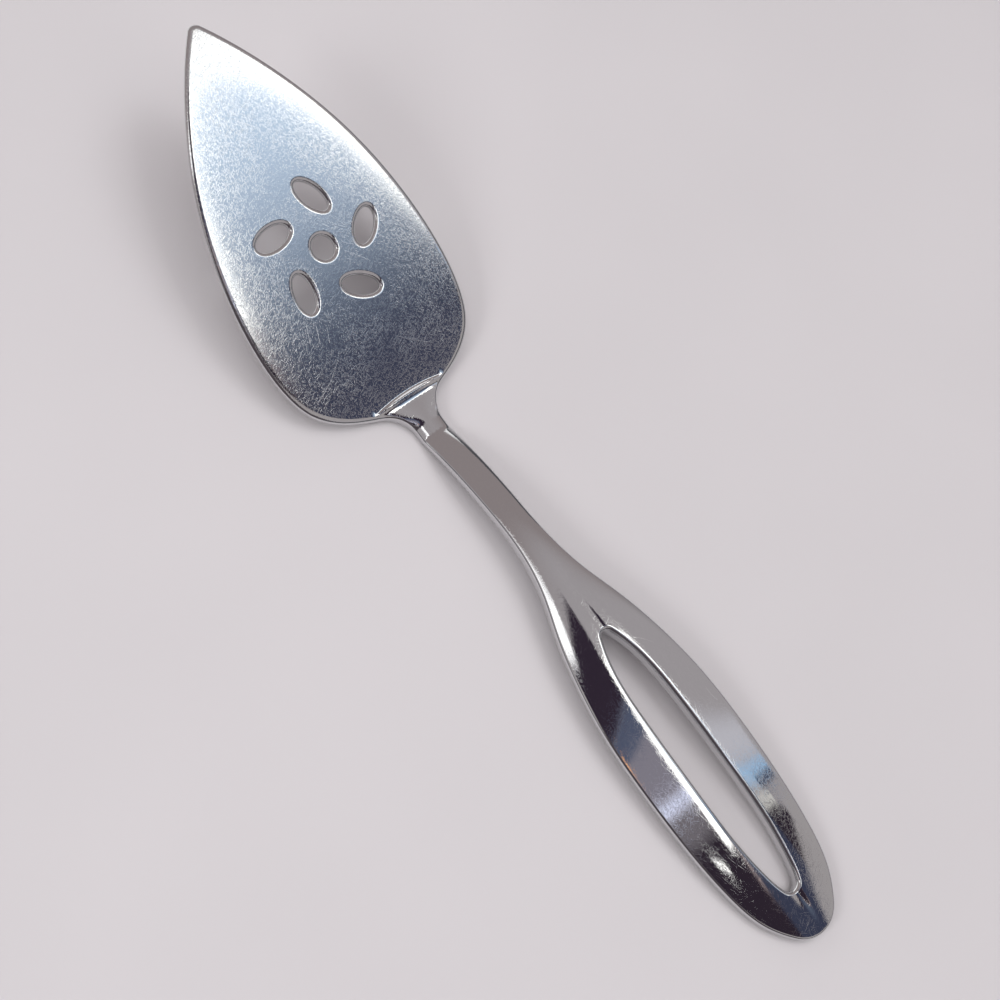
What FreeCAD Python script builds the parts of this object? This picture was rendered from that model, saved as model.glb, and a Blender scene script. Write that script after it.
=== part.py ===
"""Pie server of polished stainless steel, made from one blank.

A pointed, pierced blade meets an arched, crowned handle at a bend, and the
handle opens into a long finger loop between two limbs.

Frame: millimetres, +Z up, as the server rests on a table: on the belly of
its heel and on the end of its handle, with the blade tip raised. X runs from
the tip to the handle end. The sizes below are set out from the step where
the blade ends and the web begins, at x = 0. The finished shape is moved at
the end, so that its origin is under the middle of the server, on the table.
"""
import FreeCAD
import Part

import math
import os

Vector = FreeCAD.Vector

# Blade, measured along its own face from the step
blade_length = 97.0
blade_width = 55.2
blade_widest = 27.0
blade_thickness = 1.4
blade_crown = 0.9
blade_bow = 0.6
blade_tilt = 17.9
tip_radius = 2.3
tip_half_angle = 41.0
side_fullness = ((0.27, 0.502), (0.50, 0.771), (0.76, 0.945))
shoulder_fullness = ((0.44, 0.960), (0.70, 0.862))
shoulder_slant = 69.0
shoulder_half_width = 12.9

# Pierced pinwheel: a round hole inside a ring of slanted petals
ring_from_step = 40.1
centre_hole_diameter = 5.7
petal_count = 5
petal_length = 9.4
petal_width = 4.7
petal_ring_radius = 12.3
petal_ring_turn = 18.8
petal_slant = 135.5

# Step from the thin blade up to the web, and the belly of the heel below it
step_front = 1.0
step_arc_radius = 25.0
step_slope = 20.0
step_valley_radius = 1.0
step_ridge_radius = 0.5
belly_start = 3.2
belly_end = 11.5
heel_flat = 1.6
heel_fade = 9.0
web_thickness = 2.2
web_crown_radius = 60.0
root_fillet = 8.0

# Handle, measured along X from the step
handle_length = 156.6
handle_width = 31.3
end_section_length = 49.6
handle_thickness = 3.4
handle_end_thickness = 3.1
handle_end_radius = 8.8
handle_end_angle = 50.0
end_fullness = ((0.30, 0.976), (0.60, 0.882), (0.80, 0.712))
neck_width = 8.0
neck_rise = 19.4
neck_crown_radius = 8.0
flare_start = 37.0
flare_fullness = ((0.29, 0.216), (0.43, 0.506), (0.58, 0.750), (0.79, 0.953))
arch_height = 5.3
arch_crest = 58.0
end_drop = 5.4
end_flat = 4.0
limb_crown_radius = 60.0
groove_start = 46.0
groove_depth = 0.3
groove_half_width = 1.3

# Finger loop through the handle
loop_start = 72.5
end_bar = 11.8
loop_width = 9.9
loop_widest_part = 0.493
loop_start_radius = 1.4
loop_end_radius = 2.1
loop_end_angle = 25.0
loop_front_fullness = ((0.25, 0.755), (0.60, 0.965))
loop_back_fullness = ((0.37, 0.980), (0.62, 0.885), (0.83, 0.67))

# Edge rounding
outline_bevel = 0.4
underside_bevel = 0.3
loop_rim_radius = 1.2
pierced_rim_radius = 0.6

# Worked out
tilt = math.radians(blade_tilt)
blade_slope = math.tan(tilt)
neck_slope = math.tan(math.radians(neck_rise))
tip_x = -blade_length * math.cos(tilt)
bow_radius = blade_length ** 2 / (8 * blade_bow) + blade_bow / 2
bow_bend = 8 * blade_bow / (math.cos(tilt) * tip_x ** 2)
heel_slope = blade_slope + bow_bend * (belly_start - tip_x / 2)
belly_bend = (heel_slope + neck_slope) / (belly_end - belly_start)
belly_lowest = belly_start + heel_slope / belly_bend
end_slope = math.tan(math.radians(end_drop))
handle_widest = handle_length - end_section_length
loop_end = handle_length - end_bar
loop_widest = loop_start + (loop_end - loop_start) * loop_widest_part
block_half_width = max(blade_width, handle_width) / 2 + 4.0
block_floor = -30.0
plate_floor = -6.0
plate_top = blade_length
end_margin = 5.0
section_steps = 12
section_crowding = 1.5


def smooth_step(value, low, high):
    """Go from 0 at low to 1 at high with level ends."""
    t = min(max((value - low) / (high - low), 0.0), 1.0)
    return t * t * (3 - 2 * t)


def hermite(t, start, start_slope, finish, finish_slope, span):
    """Cubic from start to finish with the given slopes at its ends."""
    bow = (t ** 3 - 2 * t ** 2 + t) * start_slope + (t ** 3 - t ** 2) * finish_slope
    level = (2 * t ** 3 - 3 * t ** 2 + 1) * start + (3 * t ** 2 - 2 * t ** 3) * finish
    return level + bow * span


def bow_height(x):
    """Height of the blade's bow over the straight line from the step to the tip."""
    return bow_bend * x * (tip_x - x) / 2


def belly_underside(x):
    """Height of the heel's rounding over the table, before its flat is cut."""
    return belly_bend * ((x - belly_lowest) ** 2 - (heel_flat / 2) ** 2) / 2


def blade_underside(x):
    """Height of the blade's underside on the middle plane."""
    bow = bow_height(x) - bow_height(belly_start)
    return belly_underside(belly_start) - blade_slope * (x - belly_start) + bow


def underside_height(x):
    """Height of the underside over the table, before the flats it stands on are cut."""
    if x < belly_start:
        return blade_underside(x)
    if x < belly_end:
        return belly_underside(x)
    if x < arch_crest:
        span = arch_crest - belly_end
        t = (x - belly_end) / span
        return hermite(t, belly_underside(belly_end), neck_slope, arch_height, 0, span)
    flat_start = handle_length - end_flat
    if x < flat_start:
        span = flat_start - arch_crest
        return hermite((x - arch_crest) / span, arch_height, 0, 0, -end_slope, span)
    return -end_slope * (x - flat_start)


def section_thickness(x):
    """Thickness of the handle at the crest of its section."""
    swell = smooth_step(x, 0, arch_crest)
    fade = smooth_step(x, handle_widest, handle_length)
    thick = web_thickness + (handle_thickness - web_thickness) * swell
    return thick + (handle_end_thickness - handle_thickness) * fade


def crown_radius(x):
    """Radius of the crown across the web, the neck and the limbs."""
    to_neck = smooth_step(x, 0, root_fillet)
    to_limb = smooth_step(x, flare_start, handle_widest)
    radius = web_crown_radius + (neck_crown_radius - web_crown_radius) * to_neck
    return radius + (limb_crown_radius - neck_crown_radius) * to_limb


def groove_drop(x, y):
    """Depth of the groove along the middle, which deepens towards the loop and fades behind it."""
    depth = groove_depth * smooth_step(x, groove_start, loop_start)
    depth *= 1 - smooth_step(x, loop_end, handle_length)
    return depth * math.exp(-(y / groove_half_width) ** 2)


def handle_top_height(x, y):
    """Height of the handle's top, crowned across both limbs."""
    crest = underside_height(x) + section_thickness(x)
    return crest - y ** 2 / (2 * crown_radius(x)) - groove_drop(x, y)


def blade_crown_radius():
    """Radius of the blade's slight crown across its width."""
    half = blade_width / 2
    return half ** 2 / (2 * blade_crown) + blade_crown / 2


def underside_point_height(x, y):
    """Height of the underside: crowned like the blade's face, level across from the heel on."""
    level = smooth_step(x, -heel_fade, belly_lowest)
    return underside_height(x) - y ** 2 / (2 * blade_crown_radius()) * (1 - level)


def across(half_width):
    """Positions across a section, closer together towards the groove in its middle."""
    parts = [k / section_steps for k in range(1, section_steps + 1)]
    side = [half_width * part ** section_crowding for part in parts]
    return [-y for y in reversed(side)] + [0.0] + side


def block_under(stations, height, half_width):
    """Solid block whose top follows height(x, y) through sections at the stations."""
    sections = []
    for x in stations:
        points = [Vector(x, y, height(x, y)) for y in across(half_width)]
        curve = Part.BSplineCurve()
        curve.interpolate(points)
        low_left = Vector(x, points[0].y, block_floor)
        low_right = Vector(x, points[-1].y, block_floor)
        sections.append(Part.Wire([
            curve.toShape(),
            Part.makeLine(points[-1], low_right),
            Part.makeLine(low_right, low_left),
            Part.makeLine(low_left, points[0])]))
    return Part.makeLoft(sections, True, False)


def spread(first, last, count):
    """Evenly spaced values from first to last."""
    return [first + (last - first) * k / (count - 1) for k in range(count)]


def neck_and_limb_stations():
    """Section positions from the neck to past the handle end."""
    stations = spread(belly_end, flare_start, 5)[1:]
    stations += spread(flare_start, loop_start, 5)[1:]
    stations += spread(loop_start, handle_widest, 4)[1:]
    stations += spread(handle_widest, handle_length, 7)[1:]
    return stations + [handle_length + end_margin]


def blade_point(along, across, above):
    """Point set out on the blade: along its face from the step, across it, above its underside."""
    return Vector(-along * math.cos(tilt) + above * math.sin(tilt),
                  across,
                  blade_underside(0) + along * math.sin(tilt) + above * math.cos(tilt))


def blade_block():
    """Block under the blade's face, crowned across and bowed along, running on under the web."""
    half = block_half_width
    radius = blade_crown_radius()
    middle = blade_length / 2
    top = blade_thickness + blade_bow
    rim = top - (radius - math.sqrt(radius ** 2 - half ** 2))
    depth = -2 * blade_length
    left = blade_point(middle, -half, rim)
    right = blade_point(middle, half, rim)
    low_left = blade_point(middle, -half, depth)
    low_right = blade_point(middle, half, depth)
    section = Part.Face(Part.Wire([
        Part.Arc(left, blade_point(middle, 0, top), right).toShape(),
        Part.makeLine(right, low_right),
        Part.makeLine(low_right, low_left),
        Part.makeLine(low_left, left)]))
    axis = blade_point(middle, 0, top - bow_radius)
    past_tip = math.degrees((middle + end_margin) / bow_radius)
    past_step = math.degrees((middle + 2 * belly_end) / bow_radius)
    section.rotate(axis, Vector(0, 1, 0), -past_tip)
    return section.revolve(axis, Vector(0, 1, 0), past_tip + past_step)


def step_cone():
    """Cone whose flank is the ramp of the step, curved in plan about its axis."""
    slope = math.tan(math.radians(step_slope))
    foot = blade_underside(-step_front) + blade_thickness / math.cos(tilt)
    axis_x = step_arc_radius - step_front
    base = foot - block_floor
    base_radius = step_arc_radius + base / slope
    cone = Part.makeCone(base_radius, 0, base_radius * slope)
    cone.translate(Vector(axis_x, 0, block_floor))
    return cone


def web_and_handle_block():
    """Block under the top of the web and the handle, with the ramp at its front."""
    front = -3 * step_front
    stations = spread(front, 0, 3) + spread(belly_start, belly_end, 4)
    stations += neck_and_limb_stations()
    half = handle_width / 2 + 4.0
    block = block_under(stations, handle_top_height, half)
    before_neck = Part.makeBox(root_fillet - front, 2 * block_half_width, plate_top,
                               Vector(front, -block_half_width, block_floor))
    return block.cut(before_neck.cut(step_cone()))


def underside_block():
    """Block under the whole underside."""
    past_tip = tip_x - end_margin
    stations = spread(past_tip, -heel_fade, 7) + spread(-heel_fade, belly_start, 4)[1:]
    stations += spread(belly_start, belly_end, 5)[1:] + neck_and_limb_stations()
    stations[-1] += end_margin
    return block_under(stations, underside_point_height, block_half_width + 1.0)


def table_block():
    """Block under the table's height, which leaves the flats that the server stands on."""
    length = handle_length - tip_x + 2 * end_margin
    corner = Vector(tip_x - end_margin, -block_half_width, block_floor)
    return Part.makeBox(length, 2 * block_half_width, -block_floor, corner)


def spline(points, first_tangent, last_tangent):
    """Edge through flat points with the given directions at its ends."""
    curve = Part.BSplineCurve()
    curve.interpolate(Points=points, InitialTangent=first_tangent,
                      FinalTangent=last_tangent)
    return curve.toShape()


def flat(x, y):
    """Point in the plan."""
    return Vector(x, y, plate_floor)


def heading(degrees):
    """Direction in the plan, turned from +X."""
    angle = math.radians(degrees)
    return Vector(math.cos(angle), math.sin(angle), 0)


def blade_side():
    """Blade edge from the tip's rounding to the widest place."""
    half = blade_width / 2
    widest_x = -blade_widest * math.cos(tilt)
    start = flat(tip_x + tip_radius, 0) + heading(90 + tip_half_angle) * tip_radius
    points = [start]
    for along, width in side_fullness:
        points.append(flat(tip_x + (widest_x - tip_x) * along, half * width))
    points.append(flat(widest_x, half))
    return spline(points, heading(tip_half_angle), heading(0))


def root_arc_ends():
    """Ends and middle of the fillet from the slanted shoulder into the neck."""
    centre = flat(0, neck_width / 2 + root_fillet)
    slant_x = root_fillet * math.sin(math.radians(shoulder_slant))
    drop = shoulder_half_width - centre.y + root_fillet * math.cos(math.radians(shoulder_slant))
    lead = drop / math.tan(math.radians(shoulder_slant))
    centre.x = lead + slant_x
    first = centre + heading(270 - shoulder_slant) * root_fillet
    middle = centre + heading(270 - shoulder_slant / 2) * root_fillet
    last = centre + heading(270) * root_fillet
    return first, middle, last


def half_plan_edges():
    """Edges of the plan for y above 0, without the roundings at the tip and the end."""
    half = blade_width / 2
    half_handle = handle_width / 2
    half_neck = neck_width / 2
    widest_x = -blade_widest * math.cos(tilt)
    first, middle, last = root_arc_ends()
    shoulder = [flat(widest_x, half)]
    for along, width in shoulder_fullness:
        shoulder.append(flat(widest_x * (1 - along), half * width))
    shoulder.append(flat(0, shoulder_half_width))
    flare = [flat(flare_start, half_neck)]
    for along, width in flare_fullness:
        flare.append(flat(flare_start + (handle_widest - flare_start) * along,
                          half_neck + (half_handle - half_neck) * width))
    flare.append(flat(handle_widest, half_handle))
    end = [flat(handle_widest, half_handle)]
    for along, width in end_fullness:
        end.append(flat(handle_widest + (handle_length - handle_widest) * along,
                        half_handle * width))
    end.append(flat(handle_length - handle_end_radius, 0)
               + heading(handle_end_angle) * handle_end_radius)
    return [
        blade_side(),
        spline(shoulder, heading(0), heading(-shoulder_slant)),
        Part.makeLine(flat(0, shoulder_half_width), first),
        Part.Arc(first, middle, last).toShape(),
        Part.makeLine(last, flat(flare_start, half_neck)),
        spline(flare, heading(0), heading(0)),
        spline(end, heading(0), heading(handle_end_angle - 90))]


def rounding(centre_x, radius, angle, direction):
    """Arc across the middle plane, to the given angle on each side."""
    centre = flat(centre_x, 0)
    upper = centre + heading(90 - direction * (90 - angle)) * radius
    lower = Vector(upper.x, -upper.y, upper.z)
    return Part.Arc(upper, centre + Vector(direction * radius, 0, 0), lower).toShape()


def mirrored(edges):
    """Edges with their mirror images across the middle plane."""
    return edges + [edge.mirror(Vector(0, 0, 0), Vector(0, 1, 0)) for edge in edges]


def prism(edges, height):
    """Upright prism over a closed set of plan edges."""
    wire = Part.Wire(Part.sortEdges(edges)[0])
    return Part.Face(wire).extrude(Vector(0, 0, height))


def plan_prism():
    """Prism over the outline of the whole server."""
    edges = mirrored(half_plan_edges())
    edges.append(rounding(tip_x + tip_radius, tip_radius, 90 - tip_half_angle, -1))
    edges.append(rounding(handle_length - handle_end_radius, handle_end_radius,
                          handle_end_angle, 1))
    return prism(edges, plate_top)


def loop_prism():
    """Prism over the finger loop."""
    half = loop_width / 2
    start = flat(loop_start + loop_start_radius, 0)
    finish = flat(loop_end - loop_end_radius, 0)
    turn = 90 - loop_end_angle
    front = [start + heading(180 - turn) * loop_start_radius]
    for along, width in loop_front_fullness:
        front.append(flat(loop_start + (loop_widest - loop_start) * along, half * width))
    front.append(flat(loop_widest, half))
    back = [flat(loop_widest, half)]
    for along, width in loop_back_fullness:
        back.append(flat(loop_widest + (loop_end - loop_widest) * along, half * width))
    back.append(finish + heading(turn) * loop_end_radius)
    edges = mirrored([
        spline(front, heading(loop_end_angle), heading(0)),
        spline(back, heading(0), heading(-loop_end_angle))])
    edges.append(rounding(start.x, loop_start_radius, turn, -1))
    edges.append(rounding(finish.x, loop_end_radius, turn, 1))
    return prism(edges, plate_top)


def pierced_holes():
    """Round hole and petals, punched square to the blade's face."""
    through = 6 * blade_thickness
    normal = blade_point(0, 0, 1) - blade_point(0, 0, 0)
    tipward = blade_point(1, 0, 0) - blade_point(0, 0, 0)
    centre = blade_point(ring_from_step, 0, -2 * blade_thickness)
    holes = [Part.makeCylinder(centre_hole_diameter / 2, through, centre, normal)]
    for k in range(petal_count):
        turn = FreeCAD.Rotation(normal, -(petal_ring_turn + 360 * k / petal_count))
        outward = turn.multVec(tipward)
        long_axis = FreeCAD.Rotation(normal, -petal_slant).multVec(outward)
        middle = centre + outward * petal_ring_radius
        across = normal.cross(long_axis)
        ellipse = Part.Ellipse(middle + long_axis * (petal_length / 2),
                               middle + across * (petal_width / 2), middle)
        face = Part.Face(Part.Wire([ellipse.toShape()]))
        holes.append(face.extrude(normal * through))
    return holes


def middle_normal(face):
    """Outward normal at the middle of a face's parameter range."""
    u0, u1, v0, v1 = face.ParameterRange
    return face.normalAt((u0 + u1) / 2, (v0 + v1) / 2)


def is_wall(face):
    """Tell whether a face stands up, as the cut edge of the sheet does."""
    return abs(middle_normal(face).z) < math.sin(tilt) + 0.1


def is_top(face):
    """Tell whether a face looks up."""
    return not is_wall(face) and middle_normal(face).z > 0


def is_underside(face):
    """Tell whether a face looks down."""
    return not is_wall(face) and middle_normal(face).z < 0


def shared_edges(first_faces, second_faces):
    """Edges of the first faces that also bound one of the second faces."""
    others = [edge for face in second_faces for edge in face.Edges]
    return [edge for face in first_faces for edge in face.Edges
            if any(edge.isSame(other) for other in others)]


def rounded(shape, radius, first_test, second_test):
    """Round the edges between faces that pass the first and the second test."""
    first_faces = [face for face in shape.Faces if first_test(face)]
    second_faces = [face for face in shape.Faces if second_test(face)]
    return shape.makeFillet(radius, shared_edges(first_faces, second_faces)).Solids[0]


def bevelled(shape, width, first_test, second_test):
    """Bevel the edges between faces that pass the first and the second test."""
    first_faces = [face for face in shape.Faces if first_test(face)]
    second_faces = [face for face in shape.Faces if second_test(face)]
    return shape.makeChamfer(width, shared_edges(first_faces, second_faces)).Solids[0]


def is_ramp(face):
    """Tell whether a face is the ramp of the step."""
    return face.Surface.TypeId == "Part::GeomCone"


def is_crowned_face(face):
    """Tell whether a face is the blade's crowned and bowed face."""
    return face.Surface.TypeId == "Part::GeomToroid"


def inside_box(face, low_x, high_x, half_width):
    """Tell whether a face lies within a stretch of the server's length and width."""
    box = face.BoundBox
    return box.XMin > low_x and box.XMax < high_x and box.YMax - box.YMin < 2 * half_width


def is_loop_wall(face):
    """Tell whether a face is a wall of the finger loop."""
    centre = face.BoundBox.Center
    return (is_wall(face) and abs(centre.y) < loop_width / 2
            and inside_box(face, loop_start - outline_bevel, loop_end + outline_bevel, loop_width))


def is_pierced_wall(face):
    """Tell whether a face is the wall of a pierced hole."""
    reach = petal_ring_radius + petal_length
    middle = -ring_from_step * math.cos(tilt)
    centre = face.BoundBox.Center
    return (is_wall(face) and math.hypot(centre.x - middle, centre.y) < reach
            and inside_box(face, middle - reach, middle + reach, petal_length))


def upper_body():
    """Body under the finished top: blade, rounded step, web, neck and limbs."""
    handle = rounded(web_and_handle_block().Solids[0], step_ridge_radius, is_ramp, is_top)
    body = blade_block().fuse(handle).Solids[0]
    body = rounded(body, step_valley_radius, is_ramp, is_crowned_face)
    body = body.common(plan_prism()).Solids[0]
    return bevelled(body, outline_bevel, is_wall, is_top)


def pie_server():
    """The whole server as one solid, resting with its origin under its middle."""
    body = upper_body().cut(underside_block()).Solids[0]
    body = body.cut(loop_prism()).Solids[0]
    body = rounded(body, loop_rim_radius, is_loop_wall, is_top)
    body = bevelled(body, underside_bevel, is_wall, is_underside)
    body = body.cut(pierced_holes()).Solids[0]
    body = rounded(body, pierced_rim_radius, is_pierced_wall, is_top)
    body = body.cut(table_block()).Solids[0]
    body.translate(Vector(-(tip_x + handle_length) / 2, 0, 0))
    return body


def main():
    """Build the server and write its file."""
    os.makedirs("parts", exist_ok=True)
    server = pie_server()
    server.exportStep("parts/pie_server.step")
    print("pie_server", "valid", server.isValid(), "volume", round(server.Volume, 1),
          "box", server.BoundBox)


if __name__ == "__main__":
    main()
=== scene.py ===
"""Pie server of polished stainless steel on a pale table, in plain studio light.

The server is one piece. Its skin is built from the same sizes as its solid, with
rolled edges and a true direction at every point, so that the polished steel
mirrors the studio without facets. Sizes of the server are millimetres, set out
from the step between the blade and the web. Blender's own unit is the metre.
"""
from __future__ import annotations

import logging
import math
from collections.abc import Callable
from dataclasses import dataclass
from dataclasses import field
from enum import Enum

import bpy
import numpy as np
from mathutils import Matrix
from mathutils import Vector
from mathutils.geometry import delaunay_2d_cdt

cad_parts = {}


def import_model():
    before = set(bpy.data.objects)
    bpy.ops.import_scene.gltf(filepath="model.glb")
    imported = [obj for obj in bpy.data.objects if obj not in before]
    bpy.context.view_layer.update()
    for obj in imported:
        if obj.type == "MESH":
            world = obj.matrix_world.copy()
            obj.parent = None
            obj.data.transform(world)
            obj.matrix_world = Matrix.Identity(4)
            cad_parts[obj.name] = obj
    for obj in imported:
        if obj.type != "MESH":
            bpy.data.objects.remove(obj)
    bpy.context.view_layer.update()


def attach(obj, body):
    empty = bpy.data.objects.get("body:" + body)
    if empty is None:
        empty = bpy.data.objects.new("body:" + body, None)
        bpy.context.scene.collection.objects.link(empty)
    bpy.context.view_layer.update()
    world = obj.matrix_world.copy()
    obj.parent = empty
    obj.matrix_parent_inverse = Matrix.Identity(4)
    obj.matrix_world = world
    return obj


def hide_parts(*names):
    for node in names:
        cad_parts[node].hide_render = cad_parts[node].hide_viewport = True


LOG = logging.getLogger("pie_server")
MM = 0.001


def put(name: str, data: bpy.types.ID) -> bpy.types.Object:
    """Make an object that holds the data, and put it in the scene.

    Args:
        name: Name of the object.
        data: Mesh, lamp or camera.

    Returns:
        The object.
    """
    thing = bpy.data.objects.new(name, data)
    bpy.context.scene.collection.objects.link(thing)
    return thing


def smooth_step(value: np.ndarray, low: float, high: float) -> np.ndarray:
    """Go from 0 at low to 1 at high with level ends.

    Args:
        value: Where to read the step.
        low: Where the step starts.
        high: Where the step ends.

    Returns:
        The step at each value.
    """
    t = np.clip((value - low) / (high - low), 0.0, 1.0)
    return t * t * (3.0 - 2.0 * t)


def hermite(t: np.ndarray, start: float, start_slope: float, finish: float,
            finish_slope: float, span: float) -> np.ndarray:
    """Cubic from start to finish with the given slopes at its ends.

    Args:
        t: Part of the way, from 0 to 1.
        start: Value at 0.
        start_slope: Slope at 0.
        finish: Value at 1.
        finish_slope: Slope at 1.
        span: Length that t runs over.

    Returns:
        The cubic at each t.
    """
    bow = (t ** 3 - 2 * t ** 2 + t) * start_slope + (t ** 3 - t ** 2) * finish_slope
    level = (2 * t ** 3 - 3 * t ** 2 + 1) * start + (3 * t ** 2 - 2 * t ** 3) * finish
    return level + bow * span


def soft_max(first: np.ndarray, second: np.ndarray, blend: float) -> np.ndarray:
    """Larger of two heights, rounded where they cross.

    Args:
        first: One height.
        second: The other height.
        blend: Difference in height under which they are blended.

    Returns:
        The blended larger height.
    """
    t = np.clip(0.5 + (first - second) / (2.0 * blend), 0.0, 1.0)
    return second + (first - second) * t + blend * t * (1.0 - t)


def heading(degrees: float) -> np.ndarray:
    """Direction in the plan, turned from +X."""
    angle = math.radians(degrees)
    return np.array([math.cos(angle), math.sin(angle)])


def curve_through(knots: np.ndarray, first: np.ndarray, last: np.ndarray,
                  pitch: float) -> np.ndarray:
    """Smooth plan curve through points, with given directions at its ends.

    Args:
        knots: Points that the curve passes.
        first: Direction at the first point.
        last: Direction at the last point.
        pitch: Distance between the points of the result.

    Returns:
        Points along the curve, without the last one.
    """
    count = len(knots)
    steps = np.linalg.norm(np.diff(knots, axis=0), axis=1)
    system = np.eye(count)
    right = np.zeros((count, 2))
    right[0] = first
    right[-1] = last
    for k in range(1, count - 1):
        system[k, k - 1:k + 2] = steps[k], 2 * (steps[k - 1] + steps[k]), steps[k - 1]
        before = (knots[k] - knots[k - 1]) / steps[k - 1]
        after = (knots[k + 1] - knots[k]) / steps[k]
        right[k] = 3 * (steps[k] * before + steps[k - 1] * after)
    slopes = np.linalg.solve(system, right)
    pieces = []
    for k in range(count - 1):
        t = np.arange(max(2, round(steps[k] / pitch)))[:, None]
        t = t / len(t)
        pieces.append(hermite(t, knots[k], slopes[k], knots[k + 1], slopes[k + 1], steps[k]))
    return np.concatenate(pieces)


def arc(centre: np.ndarray, radius: float, start: float, finish: float, pitch: float) -> np.ndarray:
    """Points on an arc, without its last one.

    Args:
        centre: Centre in the plan.
        radius: Radius of the arc.
        start: Heading of the first point from the centre, in degrees.
        finish: Heading of the last point from the centre, in degrees.
        pitch: Distance between points.

    Returns:
        The points.
    """
    count = max(3, round(abs(math.radians(finish - start)) * radius / pitch))
    turns = start + (finish - start) * np.arange(count) / count
    return np.array([centre + radius * heading(turn) for turn in turns])


def mirrored_loop(half: np.ndarray) -> np.ndarray:
    """Closed loop from the half with y above 0, which starts and ends on the middle line.

    Args:
        half: Points from one end to the other.

    Returns:
        The points and their mirror images, counterclockwise.
    """
    lower = half[1:-1] * np.array([1.0, -1.0])
    return np.concatenate([half[::-1], lower])


@dataclass(frozen=True)
class ServerForm:
    """Heights of the server's surfaces over the table, in millimetres."""

    blade_length: float = 97.0
    blade_width: float = 55.2
    blade_thickness: float = 1.4
    blade_crown: float = 0.9
    blade_bow: float = 0.6
    blade_tilt: float = 17.9
    step_front: float = 1.0
    step_arc_radius: float = 25.0
    step_slope: float = 25.0
    valley_blend: float = 0.24
    ridge_blend: float = 0.10
    belly_start: float = 3.2
    belly_end: float = 11.5
    heel_flat: float = 1.6
    heel_fade: float = 9.0
    web_thickness: float = 2.2
    web_level: float = 3.65
    web_fall: float = 0.06
    web_blend: float = 0.16
    web_crown_radius: float = 60.0
    root_fillet: float = 8.0
    handle_length: float = 156.6
    handle_widest: float = 107.0
    handle_thickness: float = 3.4
    handle_end_thickness: float = 3.1
    neck_rise: float = 19.4
    neck_crown_radius: float = 8.0
    flare_start: float = 37.0
    arch_height: float = 5.3
    arch_crest: float = 58.0
    end_drop: float = 5.4
    end_flat: float = 4.0
    limb_crown_radius: float = 60.0
    groove_start: float = 46.0
    groove_depth: float = 0.3
    groove_half_width: float = 1.3
    loop_start: float = 72.5
    loop_end: float = 144.8

    @property
    def tilt(self) -> float:
        """Tilt of the blade in radians."""
        return math.radians(self.blade_tilt)

    @property
    def tip_x(self) -> float:
        """Place of the tip along the length."""
        return -self.blade_length * math.cos(self.tilt)

    @property
    def middle_x(self) -> float:
        """Place of the middle of the server along the length."""
        return (self.handle_length + self.tip_x) / 2.0

    @property
    def blade_radius(self) -> float:
        """Radius of the blade's slight crown across its width."""
        half = self.blade_width / 2.0
        return half ** 2 / (2.0 * self.blade_crown) + self.blade_crown / 2.0

    @property
    def step_centre(self) -> float:
        """Place along the length of the point that the step curves about."""
        return self.step_arc_radius - self.step_front

    @property
    def bow_bend(self) -> float:
        """Change of the blade's slope for each millimetre of length."""
        return 8.0 * self.blade_bow / (math.cos(self.tilt) * self.tip_x ** 2)

    @property
    def heel_slope(self) -> float:
        """Slope of the blade's underside where the heel's rounding starts."""
        return math.tan(self.tilt) + self.bow_bend * (self.belly_start - self.tip_x / 2.0)

    @property
    def neck_slope(self) -> float:
        """Slope of the neck's underside where the heel's rounding ends."""
        return math.tan(math.radians(self.neck_rise))

    @property
    def belly_bend(self) -> float:
        """Change of slope for each millimetre of the heel's rounding."""
        return (self.heel_slope + self.neck_slope) / (self.belly_end - self.belly_start)

    @property
    def belly_lowest(self) -> float:
        """Place of the middle of the heel's flat along the length."""
        return self.belly_start + self.heel_slope / self.belly_bend

    @property
    def blade_foot(self) -> float:
        """Height at which the blade's underside meets x = 0."""
        rise = math.tan(self.tilt) * self.belly_start - self.bow(self.belly_start)
        return self.belly(self.belly_start) + rise

    def bow(self, x: np.ndarray) -> np.ndarray:
        """Height of the blade's bow over the straight line from the step to the tip."""
        return self.bow_bend * x * (self.tip_x - x) / 2.0

    def belly(self, x: np.ndarray) -> np.ndarray:
        """Height of the heel's rounding, before its flat is cut."""
        return self.belly_bend * ((x - self.belly_lowest) ** 2 - (self.heel_flat / 2.0) ** 2) / 2.0

    def underside_middle(self, x: np.ndarray) -> np.ndarray:
        """Height of the underside on the middle line, before its flats are cut.

        Args:
            x: Places along the length.

        Returns:
            The heights.
        """
        blade = self.blade_foot - math.tan(self.tilt) * x + self.bow(x)
        neck_span = self.arch_crest - self.belly_end
        neck = hermite((x - self.belly_end) / neck_span, self.belly(self.belly_end),
                       self.neck_slope, self.arch_height, 0.0, neck_span)
        flat_start = self.handle_length - self.end_flat
        end_slope = math.tan(math.radians(self.end_drop))
        limb_span = flat_start - self.arch_crest
        limb = hermite((x - self.arch_crest) / limb_span, self.arch_height, 0.0,
                       0.0, -end_slope, limb_span)
        height = np.where(x < self.belly_start, blade, self.belly(x))
        height = np.where(x < self.belly_end, height, neck)
        height = np.where(x < self.arch_crest, height, limb)
        return np.where(x < flat_start, height, -end_slope * (x - flat_start))

    def underside(self, x: np.ndarray, y: np.ndarray) -> np.ndarray:
        """Height of the underside, crowned under the blade and level under the handle.

        Args:
            x: Places along the length.
            y: Places across.

        Returns:
            The heights.
        """
        level = smooth_step(x, -self.heel_fade, self.belly_lowest)
        height = self.underside_middle(x) - y ** 2 / (2.0 * self.blade_radius) * (1.0 - level)
        return np.maximum(height, 0.0)

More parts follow.
